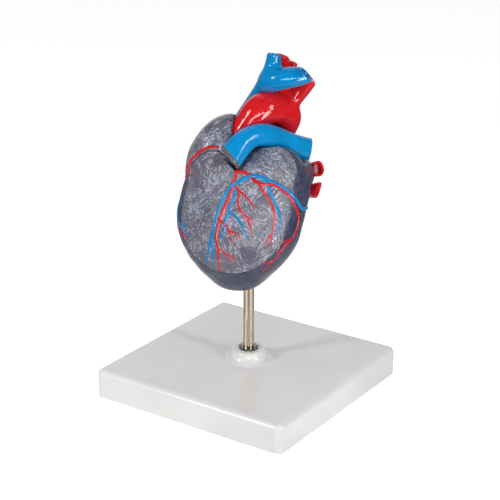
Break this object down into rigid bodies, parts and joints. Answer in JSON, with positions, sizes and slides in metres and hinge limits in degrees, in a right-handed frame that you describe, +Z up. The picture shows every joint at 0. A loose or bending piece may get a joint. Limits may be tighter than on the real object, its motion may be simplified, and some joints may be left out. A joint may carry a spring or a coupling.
{
  "type": "human heart anatomy model",
  "caption": "See-through model of the human heart on a steel rod and square base; the front wall lifts off the inner chambers.",
  "frame": {"origin": "middle of the base's underside, at the bottom of its feet", "axes": "+Z up along the rod, -Y the front edge of the base, +X to the viewer's right when facing the front edge"},
  "size_m": [0.12, 0.12, 0.1878],
  "materials": {
    "base_plastic": "glossy moulded plastic, off-white",
    "foot_rubber": "matte grey rubber",
    "rod_metal": "polished nickel plate",
    "clear_wall": "smoky see-through plastic with fine moulded fibre lines",
    "clear_back": "smoky see-through plastic, smooth",
    "artery_red": "gloss red paint on clear plastic",
    "vein_blue": "gloss blue paint on clear plastic",
    "muscle_pink": "satin pink-grey moulded plastic",
    "valve_cream": "satin cream plastic",
    "pin_clear": "clear plastic",
    "fibre_yellow": "satin yellow-green paint"
  },
  "bodies": {
    "stand": {"base_plate": "base_plastic", "base_walls": "base_plastic", "base_feet": "foot_rubber"},
    "rod": {"support_rod": "rod_metal", "rod_grip_ring": "rod_metal"},
    "heart_back": {"back_wall": "clear_back", "right_atrium": "clear_wall", "left_atrium": "clear_back", "left_auricle_root": "clear_back", "rod_socket": "clear_back", "aorta": "artery_red", "left_subclavian_artery": "artery_red", "brachiocephalic_artery": "artery_red", "left_carotid_artery": "artery_red", "pulmonary_trunk": "vein_blue", "right_pulmonary_artery": "vein_blue", "superior_vena_cava": "vein_blue", "left_brachiocephalic_vein": "vein_blue", "inferior_vena_cava": "vein_blue", "left_superior_pulmonary_vein": "artery_red", "left_inferior_pulmonary_vein": "artery_red", "right_superior_pulmonary_vein": "artery_red", "right_inferior_pulmonary_vein": "artery_red", "ventricular_septum": "muscle_pink", "atrial_septum": "muscle_pink", "tricuspid_valve": "valve_cream", "mitral_valve": "valve_cream", "aortic_valve": "valve_cream", "valve_plate": "valve_cream", "pulmonary_valve": "valve_cream", "papillary_muscles": "muscle_pink", "chordae_tendineae": "valve_cream", "circumflex_artery_back": "artery_red", "great_cardiac_vein_back": "vein_blue", "right_marginal_vein_back": "vein_blue", "right_marginal_artery_back": "artery_red", "right_coronary_artery": "artery_red", "posterior_descending_artery": "artery_red", "middle_cardiac_vein": "vein_blue", "coronary_sinus": "vein_blue", "sinus_node": "fibre_yellow", "right_bundle_branch": "fibre_yellow", "left_bundle_branch": "fibre_yellow", "right_purkinje_fibres": "fibre_yellow", "left_purkinje_fibres": "fibre_yellow"},
    "heart_front": {"front_wall": "clear_wall", "locating_pins": "pin_clear", "left_auricle": "clear_wall", "anterior_descending_artery": "artery_red", "diagonal_artery": "artery_red", "circumflex_artery_front": "artery_red", "anterolateral_artery": "artery_red", "great_cardiac_vein_front": "vein_blue", "anterior_interventricular_vein": "vein_blue", "lateral_cardiac_vein": "vein_blue", "right_marginal_vein_front": "vein_blue", "right_marginal_artery_front": "artery_red", "conus_artery": "artery_red", "front_purkinje_fibres": "fibre_yellow"}
  },
  "joints": [
    {"name": "heart_turn", "type": "hinge", "parent": "stand", "child": "rod", "pos_m": [0, 0, 0], "axis": [0, 0, 1], "continuous": true},
    {"name": "heart_lift", "type": "slide", "parent": "rod", "child": "heart_back", "axis": [0, 0, 1], "range_m": [0, 0.022]},
    {"name": "front_wall_pull", "type": "slide", "parent": "heart_back", "child": "heart_front", "axis": [0.2121, -0.9124, 0.3501], "range_m": [0, 0.05]}
  ]
}
